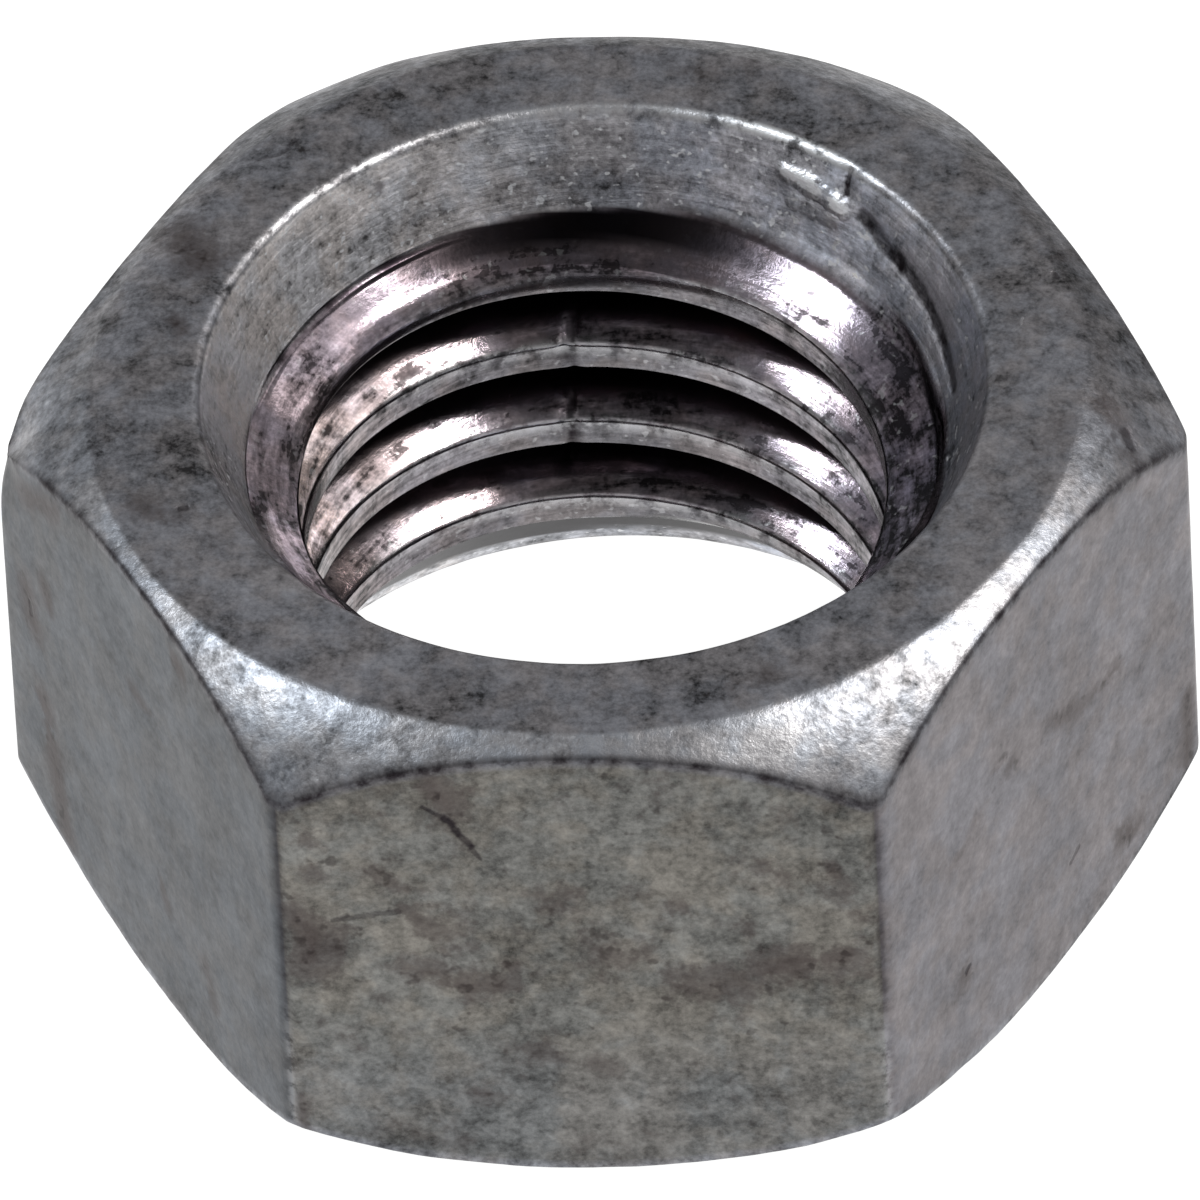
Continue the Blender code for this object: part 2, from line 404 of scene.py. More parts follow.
def end_profile(end, angles, wall):
    """The rows of one end of the shell, and their zones."""
    face_edge = face_edge_radius(end, angles)
    rows = end_rows(end, angles, wall, face_edge)
    return rows, end_zones(end, rows, angles, wall, face_edge)


def zone_weights(rows, columns):
    """Empty tables of how much of each vertex belongs to a zone, how bright it is drawn for wear and
    painted highlights, and how dark a line it holds.
    """
    return {name: np.zeros((rows, columns)) for name in [*ZONES, "worn_and_highlight", "line"]}


def share_mouth(zones, in_mouth, angles):
    """Shares the mouth's wall out between its three zones, the two side ones painted lighter as painted
    light.
    """
    left, right = on_side("left_mouth_painted_light", angles), on_side("right_mouth_painted_light", angles)
    zones["left_mouth_painted_light"][:] = in_mouth * left
    zones["right_mouth_painted_light"][:] = in_mouth * right * (1 - left)
    zones["mouth"][:] = in_mouth * (1 - right) * (1 - left)


def joined(tables):
    return {name: np.concatenate([table[name] for table in tables]) for name in tables[0]}


def flat_zones_between(flat, arcs, angles, wall):
    """How much of each point on the six flats belongs to which zone. Arcs are the two rows they end at."""
    zones = zone_weights(FLAT_ROWS, len(angles))
    which_flat = (np.degrees(angles) % 360 // 60).astype(int)
    for number, name in enumerate(FLATS):
        zones[name][:] = which_flat == number
    height = flat[..., 1]
    low = smooth_step((FRONT_LOW_HEIGHT - height) / FRONT_LOW_FADE)
    zones["front_low"][:] = zones["front"] * low
    zones["front"] *= 1 - low

    below_arc = arcs[0][:, 1] - height
    above_arc = height - arcs[1][:, 1]
    from_corner = np.abs((angles + math.radians(30)) % math.radians(60) - math.radians(30)) * wall
    at_corner = np.exp(-((from_corner / CORNER_LINE_WIDTH) ** 2))
    worn_corner = smooth_step((CORNER_SHINE_START - height) / CORNER_SHINE_FADE)
    zones["line"][:] = np.maximum.reduce([
        UPPER_END["crease"] * np.exp(-((below_arc / LINE_BELOW_ARC) ** 2)),
        LOWER_END["crease"] * np.exp(-((above_arc / LINE_BELOW_ARC) ** 2)),
        CORNER_LINE * at_corner * (1 - CORNER_LINE_LOSS * worn_corner),
    ])
    zones["worn_and_highlight"][:] = CORNER_SHINE * at_corner * worn_corner
    return zones


def shell_rows(angles):
    """The whole outside as rows of (radius, height), from the upper mouth round to the lower one."""
    wall = wall_radius(angles)
    upper, upper_zones = end_profile(UPPER_END, angles, wall)
    lower, lower_zones = end_profile(LOWER_END, angles, wall)
    upper[..., 1] = THICKNESS - upper[..., 1]
    lower = lower[::-1]
    lower_zones = {name: table[::-1] for name, table in lower_zones.items()}

    steps = np.linspace(0, 1, FLAT_ROWS + 2)[1:-1]
    crowded = (1 - FLAT_CROWDING) * steps + FLAT_CROWDING * (0.5 - 0.5 * np.cos(math.pi * steps))
    flat = np.array([upper[-1] + t * (lower[0] - upper[-1]) for t in crowded])
    flat_zones = flat_zones_between(flat, (upper[-1], lower[0]), angles, wall)
    return np.concatenate([upper, flat, lower]), joined([upper_zones, flat_zones, lower_zones])


def thread_section():
    """(depth, radius) points down one pitch of the thread, from the underside of a crest."""
    root_end = FLANK + ROOT_FLAT
    height = ROOT_RADIUS - CREST_RADIUS

    def upward_flank(t):
        return np.array([root_end + rolled(t, FLANK_CURVE) * FLANK, ROOT_RADIUS - t * height])

    section = [(t * FLANK, CREST_RADIUS + t * height) for t in np.linspace(0, 1, DOWNWARD_FLANK_ROWS)]
    section += [upward_flank(t) for t in np.linspace(0, 1 - ROUNDED_SHARE, UPWARD_FLANK_ROWS)]
    crest_corner = np.array([CREST_START, CREST_RADIUS])
    crest_edge = np.array([CREST_START + CREST_ROUNDING, CREST_RADIUS])
    rounded = bend(upward_flank(1 - ROUNDED_SHARE), crest_corner, crest_edge, CREST_CURVE_ROWS)
    section += list(rounded[1:, 0])
    section += [((crest_edge[0] + PITCH) / 2, CREST_RADIUS), (PITCH - CREST_EDGE, CREST_RADIUS)]
    return section


def bore_row(depth, radius, height, angles):
    """One row of the threaded wall, cut off level at the joins with the shell.

    It gives (radius, height) for each column, and how far each column is on which part of the hole.
    """
    level = np.clip(height, SEAM_DEPTH, THICKNESS - SEAM_DEPTH)
    end_depth = np.minimum(level, THICKNESS - level)
    mouth = mouth_radius(end_depth, angles)
    open_radius = smooth_max(radius, mouth, RUNOUT_SOFTNESS)
    row = np.stack([np.where(level == height, open_radius, mouth), level], axis=-1)

    past_thread = np.clip((mouth - radius) / ZONE_FADE, 0, 1)
    on_wall = np.clip((MOUTH_WALL_DEPTH - end_depth) / ZONE_FADE, 0, 1)
    bare = (depth - CREST_START - CREST_SHINE_START) / (CREST_SHINE_END - CREST_SHINE_START)
    on_crest = 1 if depth == 0 else smooth_step(bare)  # depth 0 is the lower edge of the crest above
    from_line = (depth - CREST_START - CREST_LINE_PLACE) / CREST_LINE_WIDTH
    # The lower mouth and the roots on one side are painted black, as painted shade.
    shaded = past_thread * smooth_step((level - LOWER_SHADE_HEIGHT) / LOWER_SHADE_FADE)
    in_root = smooth_step((open_radius - ROOT_SHADE_START_RADIUS) / ROOT_SHADE_FADE)
    in_root = in_root * near_angle(angles, ROOT_SHADE_ANGLE, ROOT_SHADE_SPREAD)
    parts = {
        "mouth": past_thread * on_wall,
        "shoulder": past_thread * (1 - on_wall),
        "crest": 0 * angles + on_crest,
        "worn_and_highlight": (1 - past_thread) * CREST_LINE * math.exp(-(from_line**2)),
        "painted_shade": np.maximum(shaded * (level < THICKNESS / 2), in_root * (1 - on_wall)),
    }
    return row, parts


def bore_zones(parts, angles):
    """Shares the threaded wall out between its zones."""
    zones = zone_weights(len(parts["mouth"]), len(angles))
    unshaded = 1 - parts["painted_shade"]
    in_mouth = unshaded * parts["mouth"]
    share_mouth(zones, in_mouth, angles)
    zones["painted_shade"][:] = parts["painted_shade"]
    zones["shoulder"][:] = unshaded * parts["shoulder"]
    on_thread = unshaded - in_mouth - zones["shoulder"]
    crest_side = near_angle(angles, CREST_SHINE_ANGLE, CREST_SHINE_SPREAD)
    zones["crest"][:] = on_thread * parts["crest"] * crest_side
    zones["worn_and_highlight"][:] = unshaded * parts["worn_and_highlight"] * crest_side
    on_flank = on_thread - zones["crest"]
    # The right flank zone is painted darker, as painted shade.
    for name in ("left_flank", "right_flank_painted_shade"):
        zones[name][:] = on_flank * on_side(name, angles)
    zones["flank"][:] = on_flank - zones["left_flank"] - zones["right_flank_painted_shade"]
    return zones


def bore_rows(angles):
    """The threaded wall as rows of (radius, height) that climb with the helix, and their zones.

    It also gives how many rows make one turn.
    """
    section = thread_section()
    turns = math.ceil(THICKNESS / PITCH) + 2
    top = CREST_HEIGHT_AT_BACK + 2 * PITCH
    climb = PITCH * (angles - math.pi / 2) / math.tau
    rows = []
    parts_by_row = []
    for turn in range(turns + 1):
        for depth, radius in section:
            row, parts = bore_row(depth, radius, top - turn * PITCH - depth + climb, angles)
            rows.append(row)
            parts_by_row.append(parts)
    parts = {name: np.array([row[name] for row in parts_by_row]) for name in parts_by_row[0]}
    return np.array(rows), bore_zones(parts, angles), len(section)


def positions(rows, angles):
    """Points in space for rows of (radius, height)."""
    radius, height = rows[..., 0], rows[..., 1]
    return np.stack([radius * np.cos(angles), radius * np.sin(angles), height], axis=-1)


def grid_faces(rows, columns, first, turn_rows=0):
    """Faces between neighbouring rows and columns. The last column meets the first turn_rows higher."""
    faces = []
    for row in range(rows - 1):
        for column in range(columns):
            here = first + row * columns + column
            if column < columns - 1:
                faces.append((here, here + columns, here + columns + 1, here + 1))
            elif row >= turn_rows:
                there = first + (row - turn_rows) * columns
                faces.append((here, here + columns, there + columns, there))
    return faces


def add_attribute(mesh, name, kind, values):
    attribute = mesh.attributes.new(name, kind, "POINT")
    key = {"FLOAT": "value", "FLOAT_COLOR": "color", "FLOAT_VECTOR": "vector"}[kind]
    attribute.data.foreach_set(key, values.ravel())


def body_mesh():
    """The nut as one closed mesh, with its finish stored as attributes."""
    angles = column_angles()
    columns = len(angles)
    shell, shell_zones = shell_rows(angles)
    bore, bore_zones, turn_rows = bore_rows(angles)
    points = np.concatenate([positions(rows, angles).reshape(-1, 3) for rows in (shell, bore)])
    faces = grid_faces(len(shell), columns, 0)
    faces += grid_faces(len(bore), columns, len(shell) * columns, turn_rows)

    mesh = bpy.data.meshes.new("nut_body")
    mesh.from_pydata(points.tolist(), [], faces)
    zones = {name: table.ravel() for name, table in joined([shell_zones, bore_zones]).items()}
    colour = sum(zones[name][:, None] * np.array(ZONES[name]["colour"]) for name in ZONES)
    add_attribute(mesh, "colour", "FLOAT_COLOR", colour)
    for quality in QUALITIES:
        amount = sum(zones[name] * ZONES[name][quality] for name in ZONES)
        add_attribute(mesh, quality, "FLOAT", amount)
    for name in ("worn_and_highlight", "line"):
        add_attribute(mesh, name, "FLOAT", zones[name])

    shape = bmesh.new()
    shape.from_mesh(mesh)
    bmesh.ops.remove_doubles(shape, verts=shape.verts, dist=MERGE_DISTANCE)
    bmesh.ops.dissolve_degenerate(shape, edges=shape.edges, dist=MERGE_DISTANCE)
    loose = [vertex for vertex in shape.verts if not vertex.link_faces]
    bmesh.ops.delete(shape, geom=loose, context="VERTS")
    bmesh.ops.recalc_face_normals(shape, faces=shape.faces)
    shape.to_mesh(mesh)
    shape.free()
    mesh.shade_smooth()
    wear_surface(mesh)
    return mesh


# ---------------------------------------------------------------- wear modelled in the surface

def read(values, key, width):
    """One of a mesh's value lists as an array with a row for each item."""
    array = np.empty(len(values) * width, np.float32)
    values.foreach_get(key, array)
    return array.reshape(-1, width).astype(float)


def in_the_mouth(angle, depth):
    """A point on the upper mouth's wall, from an angle in degrees and a depth."""
    turn = math.radians(angle)
    radius = float(mouth_radius(depth * MM, turn)) / MM
    return (radius * math.cos(turn), radius * math.sin(turn), THICKNESS / MM - depth)


def on_a_flat(direction, along, z):
    """A point on the flat that faces a direction in degrees, from its middle along it, and up."""
    turn = math.radians(direction)
    across = APOTHEM / MM
    x = across * math.cos(turn) - along * math.sin(turn)
    y = across * math.sin(turn) + along * math.cos(turn)
    return (x, y, z)


def on_the_front(along, z):
    return on_a_flat(-90, along, z)


def on_the_front_left(along, z):
    return on_a_flat(-150, along, z)


def on_the_front_right(along, z):
    return on_a_flat(-30, along, z)


def on_the_upper_end(x, y):
    """A point on the upper face, or on its chamfer."""
    past_face = max(math.hypot(x, y) - UPPER_END["radius"] / MM, 0)
    drop = UPPER_END["slope"] * past_face + UPPER_END["bend"] * MM * past_face**2
    return (x, y, THICKNESS / MM - drop)


def on_the_thread(angle, z):
    """A point on the threaded wall laid out flat: along the wall, and up."""
    return (CREST_RADIUS / MM * math.radians(angle), z, 0)


def path_on(surface, *points):
    """A path through points on one surface, given the function that places them."""
    return [surface(*point) for point in points]


def stroke(path, width, depth, **looks):
    """A mark in millimetres along a path. Its looks say how dark or how bright it is drawn."""
    return {"path": path, "width": width, "depth": depth, **looks}


def marks():
    """The dents, scratches and ridges. A ridge stands up, so its depth is below zero."""
    scratch = path_on(on_the_front, (-2.75, 9.7), (-2.4, 9.42), (-2.12, 9.0), (-1.9, 8.62), (-1.78, 8.35))
    faint_scratch = path_on(on_the_front, (-4.5, 6.8), (-3.3, 7.03))
    gouge = path_on(in_the_mouth, (46, 0.72), (40, 0.92), (34, 0.98), (28, 1.08), (20, 1.22), (11, 1.38))
    rim_cut = path_on(in_the_mouth, (50.8, 0.08), (50.3, 0.5))
    ridge_highlight = path_on(in_the_mouth, (61, 0.58), (55, 0.66), (49.8, 0.78))
    lower_ridge = path_on(in_the_mouth, (59, 1.02), (51, 1.04))
    corner_dimple = path_on(on_the_upper_end, (9.83, -0.85), (9.93, -1.05))
    left_nick = path_on(on_the_upper_end, (-7.34, -3.21), (-7.25, -3.18))
    right_nick = path_on(on_the_upper_end, (8.48, 2.82), (8.5, 2.75))
    back_scratch = path_on(on_the_upper_end, (-6.3, 6.0), (-5.9, 6.1), (-5.6, 6.45))
    bright_scratch = path_on(on_the_upper_end, (7.75, 1.35), (7.95, 1.85))
    right_dot = path_on(on_the_front_right, (-2.8, 3.05), (-2.7, 3.12))
    right_dash = path_on(on_the_front_right, (0.85, 2.7), (1.1, 2.9))
    left_dash = path_on(on_the_front_left, (-4.3, 6.6), (-4.25, 6.35))
    corner_dent = [(-10.9, 0, 9.9), (-10.85, 0, 9.5)]
    return [
        stroke(scratch[:3], 0.07, 0.02, dark=0.8),
        stroke(scratch[1:4], 0.11, 0.03, dark=1.0),
        stroke(scratch[3:], 0.06, 0.02, dark=0.8),
        stroke(faint_scratch, 0.09, 0.02, dark=0.7),
        stroke(gouge, 0.23, 0.04, dark=1.0),
        stroke(rim_cut, 0.09, 0.07, dark=1.0),
        # The ridges are raised, and drawn bright on top as painted highlights.
        stroke(ridge_highlight, 0.24, -0.08, shine=0.9),
        stroke(lower_ridge, 0.20, -0.02, shine=0.35),
        stroke(corner_dimple, 0.24, 0.05, dark=1.0),
        stroke(left_nick, 0.12, 0.03, dark=0.8),
        stroke(right_nick, 0.10, 0.03, dark=0.8),
        stroke(back_scratch, 0.10, 0.03, dark=0.6),
        stroke(bright_scratch, 0.05, 0.01, shine=0.12),
        stroke(right_dot, 0.10, 0.03, dark=1.0),
        stroke(right_dash, 0.09, 0.02, dark=0.7),
        stroke(left_dash, 0.12, 0.02, dark=0.7),
        stroke(corner_dent, 0.75, 0.2),
    ]


def tears():
    """The ragged tear across the crests at the back."""
    pieces = (
        ([(89.5, 8.15), (92, 7.8), (94, 7.45)], 0.04, 0.02, 0.8),
        ([(94.0, 7.45), (95.6, 7.15), (97.0, 6.95), (98.6, 6.78)], 0.11, 0.02, 1.0),
        ([(98.2, 6.9), (98.9, 6.72)], 0.20, 0.03, 1.0),
        ([(96.2, 7.2), (96.5, 6.9), (97.2, 6.6), (96.8, 6.3)], 0.13, 0.03, 1.0),
        ([(96.9, 6.2), (97.6, 5.8), (97.0, 5.5), (97.4, 5.2)], 0.10, 0.02, 1.0),
        ([(97.4, 5.2), (97.9, 4.9), (97.1, 4.65), (97.5, 4.35)], 0.12, 0.03, 1.0),
        ([(98.6, 5.05), (99.0, 4.93)], 0.18, 0.03, 1.0),
        ([(97.2, 4.3), (96.5, 3.9), (96.7, 3.5)], 0.04, 0.03, 0.8),
    )
    return [
        stroke(path_on(on_the_thread, *points), width, depth, dark=dark)
        for points, width, depth, dark in pieces
    ]


# Brown smears in millimetres: a path over the surface, its width, and how strong it is.
FRONT_STAINS = [
    ([(-2.6, 10.3), (-2.3, 9.7)], 0.40, 1.0),
    ([(-4.9, 8.9), (-4.7, 8.7)], 0.22, 0.8),
    ([(-4.8, 8.2), (-4.75, 8.0)], 0.22, 1.0),
    ([(-3.9, 8.1), (-3.4, 7.7)], 0.30, 0.8),
    ([(-5.2, 6.9), (-4.9, 6.4), (-5.0, 5.7)], 0.42, 1.0),
    ([(-4.6, 6.7), (-3.3, 7.0)], 0.20, 0.8),
    ([(-0.9, 7.2), (-0.1, 7.5)], 0.30, 0.6),
    ([(-2.9, 6.6), (-2.6, 6.3)], 0.30, 0.6),
    ([(-3.0, 5.5), (-2.1, 5.0), (-1.4, 5.1)], 0.38, 0.9),
    ([(0.1, 6.3), (0.9, 5.7), (1.8, 5.3), (3.4, 5.2)], 0.38, 0.8),
    ([(3.3, 5.5), (4.9, 5.9)], 0.50, 1.0),
    ([(4.5, 8.3), (4.7, 7.9)], 0.22, 0.9),
    ([(4.9, 6.9), (5.1, 6.3)], 0.22, 0.6),
    ([(1.76, 7.23), (1.85, 7.15)], 0.16, 1.0),
    ([(-0.9, 3.4), (0.4, 3.0)], 0.32, 0.7),
    ([(-2.1, 2.4), (-1.8, 2.35)], 0.16, 1.0),
    ([(0.7, 1.4), (1.1, 1.2)], 0.16, 0.8),
    ([(-5.3, 2.2), (-5.25, 1.0)], 0.20, 0.8),
    ([(-4.2, 1.6), (-3.2, 1.5)], 0.25, 0.5),
]
FRONT_LEFT_STAINS = [
    ([(-4.4, 9.3), (-2.9, 10.1)], 0.42, 1.0),
    ([(-4.4, 6.9), (-4.2, 6.1)], 0.45, 1.2),
    ([(-3.6, 7.6), (-3.5, 7.2)], 0.28, 1.2),
    ([(-4.0, 4.4), (-3.6, 2.6), (-3.4, 1.4)], 0.45, 1.2),
    ([(-0.1, 8.0), (0.6, 7.8)], 0.26, 0.9),
    ([(1.8, 10.3), (2.0, 10.2)], 0.30, 1.2),
    ([(0.6, 3.5), (0.8, 3.1)], 0.24, 1.0),
    ([(2.3, 2.9), (2.6, 2.0)], 0.34, 0.9),
]
FRONT_RIGHT_STAINS = [
    ([(2.7, 6.2), (1.5, 6.3), (0.3, 6.7)], 0.34, 0.9),
    ([(-1.4, 7.1), (-1.1, 6.9)], 0.40, 1.0),
    ([(-2.3, 6.5), (-3.2, 6.0)], 0.30, 0.6),
    ([(2.6, 2.0), (2.9, 1.7)], 0.42, 1.2),
    ([(5.0, 3.4), (4.9, 1.9)], 0.30, 1.2),
    ([(-2.8, 3.05), (-3.0, 3.0)], 0.28, 1.0),
]
UPPER_END_STAINS = [
    ([(-7.8, 4.3), (-7.2, 3.3)], 0.60, 1.0),
    ([(-7.6, 1.7), (-7.5, 1.4)], 0.25, 0.9),
    ([(-8.1, -3.1), (-7.6, -3.5)], 0.40, 0.8),
    ([(-6.0, 6.3), (-5.6, 6.1)], 0.35, 0.6),
    ([(8.2, -1.9), (8.6, -1.2)], 0.50, 0.45),
    ([(9.5, -0.5), (9.9, -1.3)], 0.50, 0.8),
    ([(8.6, 3.4), (7.9, 4.4)], 0.45, 0.5),
    ([(2.6, -7.9), (3.4, -7.6)], 0.40, 0.7),
    ([(1.4, 8.3), (2.6, 8.2)], 0.40, 0.5),
]


def stains():
    """The smears on all the surfaces that have their own."""
    smears_by_surface = (
        (on_the_front, FRONT_STAINS),
        (on_the_front_left, FRONT_LEFT_STAINS),
        (on_the_front_right, FRONT_RIGHT_STAINS),
        (on_the_upper_end, UPPER_END_STAINS),
    )
    return [
        {"path": path_on(surface, *points), "width": width, "amount": amount}
        for surface, smears in smears_by_surface
        for points, width, amount in smears
    ]


def near_path(points, stroke):
    """1 on the chain of straight lines through the stroke's path, falling off over its width."""
    nearest = np.full(len(points), np.inf)
    for start, end in zip(stroke["path"], stroke["path"][1:]):
        start, along = np.array(start), np.array(end) - np.array(start)
        t = np.clip((points - start) @ along / (along @ along), 0, 1)
        nearest = np.minimum(nearest, np.linalg.norm(points - start - t[:, None] * along, axis=1))
    return np.exp(-((nearest / stroke["width"]) ** 2))


def unevenness(points):
    """Forged lumps, and tool lines that run round the axis, for every point."""
    uneven = []
    for x, y, z in points:
        lumps = noise.fractal(Vector((x, y, z)) * LUMP_RATE, 1.0, 2.1, LUMP_OCTAVES)
        in_lines = Vector((x * TOOL_LINE_RATE_ACROSS, y * TOOL_LINE_RATE_ACROSS, z * TOOL_LINE_RATE_UP))
        uneven.append((lumps, noise.noise(in_lines)))
    return np.array(uneven).T


def near_tears(points):
    """Each tear with how near every point is to it, on the threaded wall laid out flat."""
    x, y, z = points.T
    on_thread = np.hypot(x, y) < MOUTH_WALL_END_RADIUS / MM
    laid_out = np.stack([CREST_RADIUS / MM * np.arctan2(y, x), z, 0 * z], axis=1)
    noise.seed_set(TEAR_SEED)
    shift = np.array([noise.noise_vector(Vector(point) * TEAR_RATE) for point in points])
    ragged = laid_out + TEAR_RAGGEDNESS * shift
    ragged[:, 2] = 0
    return [(tear, on_thread * near_path(ragged, tear)) for tear in tears()]


def wear_surface(mesh):
    """Moves the surface along its normals: forged unevenness, tool lines, the marks and the tears.

    It stores each point's first place, how stained it is, and the tears' dark lines.
    """
    points = read(mesh.vertices, "co", 3) / MM
    normals = read(mesh.vertices, "normal", 3)
    relief, streaks, line = (
        read(mesh.attributes[name].data, "value", 1)[:, 0] for name in ("relief", "streaks", "line")
    )
    lumps, tool_lines = unevenness(points)
    move = relief * (lumps + streaks * tool_lines)
    for mark in marks():
        move -= mark["depth"] * near_path(points, mark)
    for tear, near in near_tears(points):
        move -= tear["depth"] * near
        line = np.maximum(line, tear["dark"] * near)
    stain = np.zeros(len(points))
    for smear in stains():
        stain = np.maximum(stain, smear["amount"] * near_path(points, smear))

    add_attribute(mesh, "stain", "FLOAT", stain)
    add_attribute(mesh, "rest", "FLOAT_VECTOR", points)
    mesh.attributes["line"].data.foreach_set("value", line)
    mesh.vertices.foreach_set("co", ((points + normals * move[:, None]) * MM).ravel())
    mesh.update()


# ---------------------------------------------------------------- materials

class NodeGraph:
    """Adds shader nodes to a material or a world. A socket's value is a number or another socket."""

    def __init__(self, owner):
        self.tree = owner.node_tree

    def feed(self, socket, value):
        if isinstance(value, bpy.types.NodeSocket):
            self.tree.links.new(value, socket)
        else:
            socket.default_value = value

    def add(self, kind, sockets, **settings):
        node = self.tree.nodes.new(kind)
        for name, value in settings.items():
            setattr(node, name, value)
        for name, value in sockets.items():
            self.feed(node.inputs[name], value)
        return node

    def attribute(self, name):
        node = self.add("ShaderNodeAttribute", {}, attribute_name=name)
        return node.outputs[{"colour": "Color", "rest": "Vector"}.get(name, "Fac")]

    def math(self, operation, *values):
        return self.add("ShaderNodeMath", dict(enumerate(values)), operation=operation).outputs[0]

    def millimetres(self, stretch=(1, 1, 1)):
        """The place on the nut in millimetres, stretched along the axes."""
        place = self.add("ShaderNodeTexCoord", {}).outputs["Object"]
        scale = tuple(s / MM for s in stretch)
        return self.add("ShaderNodeMapping", {"Vector": place, "Scale": scale}).outputs[0]

    def noise(self, place, scale, detail, roughness):
        sockets = {"Vector": place, "Scale": scale, "Detail": detail, "Roughness": roughness}
        return self.add("ShaderNodeTexNoise", sockets).outputs[0]

    def step(self, value, low, high, start=0.0, end=1.0):
        """Start below low, end above high, and a smooth change between."""
        sockets = {"Value": value, "From Min": low, "From Max": high, "To Min": start, "To Max": end}
        node = self.add("ShaderNodeMapRange", sockets, interpolation_type="SMOOTHSTEP")
        return node.outputs["Result"]

    def mix(self, factor, first, second):
        sockets = {0: factor, 6: first, 7: second}
        return self.add("ShaderNodeMix", sockets, data_type="RGBA").outputs[2]

    def weighted(self, *terms):
        """The sum of noises, each centred on zero and multiplied by its weight."""
        total = 0.0
        for value, weight in terms:
            centred = self.math("SUBTRACT", value, 0.5)
            total = self.math("ADD", self.math("MULTIPLY", centred, weight), total)
        return total

    def cover(self, under, over, mask, amount, strength):
        """Lays one colour over another, as far as the mask, the amount and the strength allow."""
        factor = self.math("MULTIPLY", self.math("MULTIPLY", mask, amount), strength)
        return self.mix(factor, under, over)

    def vector(self, operation, first, second):
        node = self.add("ShaderNodeVectorMath", {0: first, 1: second}, operation=operation)
        return node.outputs["Value" if operation in ("DOT_PRODUCT", "DISTANCE") else "Vector"]

    def scaled(self, vector, amount):
        node = self.add("ShaderNodeVectorMath", {0: vector, "Scale": amount}, operation="SCALE")
        return node.outputs[0]

    def ragged(self, place, amount):
        """The place shifted this way and that, so that what is drawn there gets uneven edges."""
        sockets = {"Vector": place, "Scale": 3.5, "Detail": 3.0, "Roughness": 0.6}
        shift = self.add("ShaderNodeTexNoise", sockets).outputs["Color"]
        centred = self.vector("SUBTRACT", shift, (0.5, 0.5, 0.5))
        return self.vector("ADD", place, self.scaled(centred, amount))

    def near_line(self, place, start, end, width):
        """1 on the straight line between two points, falling to 0 at the width."""
        along = Vector(end) - Vector(start)
        from_start = self.vector("SUBTRACT", place, start)
        sockets = {0: self.vector("DOT_PRODUCT", from_start, along), 1: 1 / along.length_squared}
        t = self.add("ShaderNodeMath", sockets, operation="MULTIPLY", use_clamp=True).outputs[0]
        away = self.vector("DISTANCE", from_start, self.scaled(along, t))
        return self.step(away, STROKE_CORE * width, width, 1.0, 0.0)

    def strokes(self, place, strokes, quality):
        """Every stroke that has the quality, drawn as strongly as it says."""
        total = 0.0
        for stroke in strokes:
            for start, end in zip(stroke["path"], stroke["path"][1:]):
                if quality in stroke:
                    near = self.near_line(place, start, end, stroke["width"])
                    total = self.math("MAXIMUM", self.math("MULTIPLY", near, stroke[quality]), total)
        return total


def wall_end_shade_line(graph, place):
    """1 on the edge between the mouth's wall and its shoulder, at the back on the left, where a line of
    painted shade is drawn.
    """
    x, y, z = graph.add("ShaderNodeSeparateXYZ", {"Vector": place}).outputs
    squares = [graph.math("MULTIPLY", value, value) for value in (x, y)]
    radius = graph.math("SQRT", graph.math("ADD", *squares))
    away = graph.math("ABSOLUTE", graph.math("SUBTRACT", z, WALL_END_LINE_HEIGHT))
    near = graph.step(away, *WALL_END_LINE_EDGE, 1.0, 0.0)
    in_hole = graph.math("LESS_THAN", radius, RIM_RADIUS / MM)
    at_back = graph.step(y, *WALL_END_LINE_BACK)
    on_left = graph.step(x, *WALL_END_LINE_LEFT, 1.0, 0.0)
    back_left = graph.math("MULTIPLY", at_back, on_left)
    return graph.math("MULTIPLY", graph.math("MULTIPLY", near, in_hole), back_left)


def mottling(graph, place, middle):
    """A value near zero that lightens and darkens the steel: mottling, and streaks round the axis."""
    fine = graph.noise(place, scale=8.0, detail=3.0, roughness=0.7)
    large = graph.noise(place, scale=0.5, detail=3.0, roughness=0.6)
    stretched = graph.millimetres((0.6, 0.6, 7.0))
    lines = graph.noise(stretched, scale=1.1, detail=4.0, roughness=0.65)
    mottled = graph.weighted((fine, FINE_WEIGHT), (middle, MIDDLE_WEIGHT), (large, LARGE_WEIGHT))
    streaked = graph.math("MULTIPLY", graph.weighted((lines, STREAK_WEIGHT)), graph.attribute("streaks"))
    return graph.math("MULTIPLY", graph.math("ADD", mottled, streaked), graph.attribute("grain"))


def clean_colour(graph, place, uneven):
    """The zone's own colour, slightly warmer and cooler in patches, lightened by the mottling."""
    lightness = graph.math("MAXIMUM", graph.math("ADD", uneven, 1.0), DARKEST)
    patches = graph.noise(place, scale=0.9, detail=4.0, roughness=0.6)
    tint = graph.mix(graph.step(patches, *TINT_EDGE), WARM_TINT, COOL_TINT)
    return graph.scaled(graph.vector("MULTIPLY", graph.attribute("colour"), tint), lightness)


